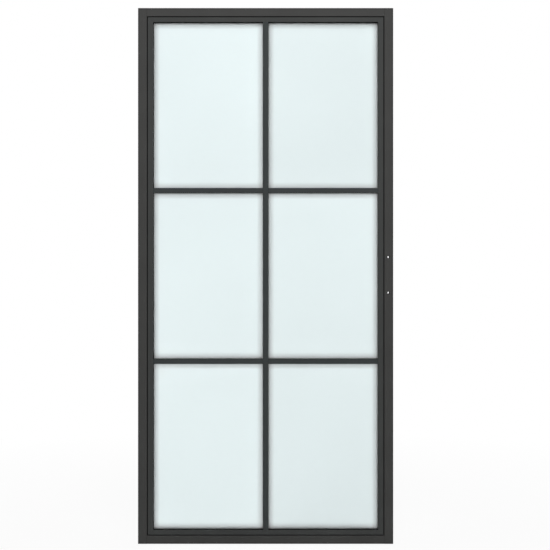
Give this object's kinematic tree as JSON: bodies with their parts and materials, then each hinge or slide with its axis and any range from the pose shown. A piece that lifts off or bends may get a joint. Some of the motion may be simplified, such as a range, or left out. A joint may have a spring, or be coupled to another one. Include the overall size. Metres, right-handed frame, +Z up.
{
  "type": "glass door",
  "caption": "Tall narrow sliding door leaf: dark powder coated metal frame with glazing bars and satin glass panes, with holes for a pull handle and threaded plates for top hangers.",
  "frame": {"origin": "middle of the bottom edge: centred across the width and the thickness", "axes": "+Z up, +X to the right as seen from the front, -Y out of the front face that has the beads and covers"},
  "size_m": [1, 0.04, 2.1],
  "materials": {
    "frame_coat": "fine matt powder coat in dark grey on drawn aluminium",
    "bead_coat": "fine matt powder coat in dark grey on drawn aluminium",
    "bar_coat": "fine matt powder coat in dark grey on drawn aluminium",
    "cover_coat": "fine matt powder coat in dark grey on drawn aluminium",
    "satin_glass": "satin etched on both faces, pale blue green body",
    "channel_rubber": "soft matt black extruded rubber",
    "block_plastic": "hard matt black plastic",
    "plug_plastic": "matt dark grey plastic, close to the coat",
    "cap_plastic": "fine grained matt black plastic",
    "screw_steel": "bright zinc plated steel",
    "spigot_steel": "drawn flat steel, zinc plated",
    "sleeve_aluminium": "drawn tube, matt black anodised"
  },
  "bodies": {
    "root": {"bottom_bead": "bead_coat", "bottom_left_channel": "channel_rubber", "bottom_left_pane": "satin_glass", "bottom_rail": "frame_coat", "bottom_right_channel": "channel_rubber", "bottom_right_pane": "satin_glass", "bottom_spigot": "spigot_steel", "corner_screws": "screw_steel", "handle_sleeves": "sleeve_aluminium", "hanger_plate_screws": "screw_steel", "left_bead": "bead_coat", "left_foot_cap": "cap_plastic", "left_hanger_plate": "spigot_steel", "left_stile": "frame_coat", "left_top_cap": "cap_plastic", "lower_crossbar_joiner": "spigot_steel", "lower_left_crossbar": "bar_coat", "lower_left_crossbar_cover": "cover_coat", "lower_left_spigot": "spigot_steel", "lower_right_crossbar": "bar_coat", "lower_right_crossbar_cover": "cover_coat", "lower_right_spigot": "spigot_steel", "middle_left_channel": "channel_rubber", "middle_left_pane": "satin_glass", "middle_right_channel": "channel_rubber", "middle_right_pane": "satin_glass", "right_bead": "bead_coat", "right_foot_cap": "cap_plastic", "right_hanger_plate": "spigot_steel", "right_stile": "frame_coat", "right_top_cap": "cap_plastic", "screw_hole_plugs": "plug_plastic", "setting_blocks": "block_plastic", "top_bead": "bead_coat", "top_left_channel": "channel_rubber", "top_left_pane": "satin_glass", "top_rail": "frame_coat", "top_right_channel": "channel_rubber", "top_right_pane": "satin_glass", "top_spigot": "spigot_steel", "upper_crossbar_joiner": "spigot_steel", "upper_left_crossbar": "bar_coat", "upper_left_crossbar_cover": "cover_coat", "upper_left_spigot": "spigot_steel", "upper_right_crossbar": "bar_coat", "upper_right_crossbar_cover": "cover_coat", "upper_right_spigot": "spigot_steel", "vertical_bar": "bar_coat", "vertical_bar_cover": "cover_coat"}
  },
  "joints": []
}
